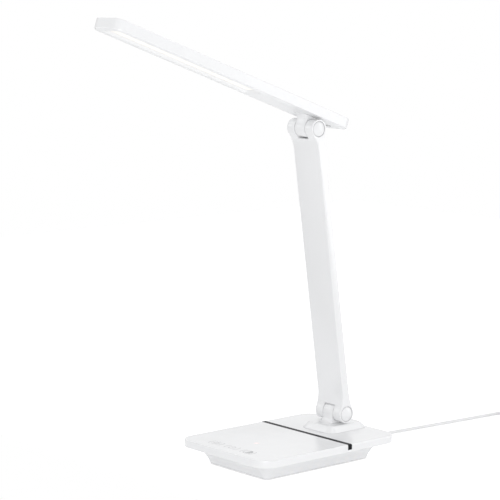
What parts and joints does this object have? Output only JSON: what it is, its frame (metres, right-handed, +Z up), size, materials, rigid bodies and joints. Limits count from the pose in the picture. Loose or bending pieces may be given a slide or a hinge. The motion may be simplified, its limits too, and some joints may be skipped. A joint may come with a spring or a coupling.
{
  "type": "folding LED desk lamp",
  "caption": "Desk lamp with a flat touch base, a slim arm on a friction hinge and a long tilting LED head, with its USB lead coiled behind.",
  "frame": {"origin": "on the desk under the middle of the base, at the face of the rubber pad", "axes": "+Z up from the desk, -Y to the front (the head reaches that way, the cord leaves at +Y), +X to the side along both hinge lines"},
  "size_m": [0.145, 0.5683, 0.4218],
  "materials": {
    "white_gloss": "smooth glossy white, moulded",
    "white_satin": "satin off-white, moulded",
    "black_gloss": "glossy black inlay",
    "light_pipe": "clear tinted light pipe, glowing a pale orange-red",
    "diffuser": "milky translucent",
    "circuit_board": "green solder mask",
    "led_strip": "white solder mask",
    "pad_rubber": "matt grey rubber",
    "steel": "plain zinc-plated steel",
    "brass": "plain brass",
    "ballast": "dark painted iron",
    "cord_jacket": "pale grey flexible jacket",
    "tie": "black flexible strap",
    "wire": "black wire jacket"
  },
  "bodies": {
    "base": {"base_cover": "white_gloss", "inlay_strip": "black_gloss", "indicator_lens": "light_pipe", "touch_board": "circuit_board", "base_housing": "white_gloss", "rest_pad": "pad_rubber", "base_screws": "steel", "ballast_plate": "ballast", "main_board": "circuit_board", "board_screws": "steel", "cord_gland": "cord_jacket", "pedestal": "white_gloss", "pedestal_screws": "steel", "cord_lead": "cord_jacket", "cord_coil": "cord_jacket", "cord_tie": "tie", "plug_grip": "white_satin", "plug_shell": "steel"},
    "arm": {"lower_bolt": "steel", "lower_nut": "brass", "lower_spring_washer": "steel", "lower_friction_washers": "brass", "lower_caps": "white_gloss", "arm_shell": "white_gloss", "arm_cover": "white_satin", "arm_wire": "wire", "upper_bolt": "steel", "upper_nut": "brass", "upper_spring_washer": "steel", "upper_friction_washers": "brass", "upper_caps": "white_gloss"},
    "head": {"head_shell": "white_gloss", "head_cover": "white_satin", "head_bracket": "white_gloss", "head_anchor": "steel", "bracket_screws": "steel", "led_board": "led_strip", "led_reflector": "white_satin", "diffuser": "diffuser", "head_wire": "wire"}
  },
  "joints": [
    {"name": "arm_hinge", "type": "hinge", "parent": "base", "child": "arm", "pos_m": [0, 0.0586, 0.0396], "axis": [1, 0, 0], "range_deg": [-22, 68]},
    {"name": "head_hinge", "type": "hinge", "parent": "arm", "child": "head", "pos_m": [0, 0.02076, 0.31582], "axis": [1, 0, 0], "range_deg": [-60, 118]}
  ]
}
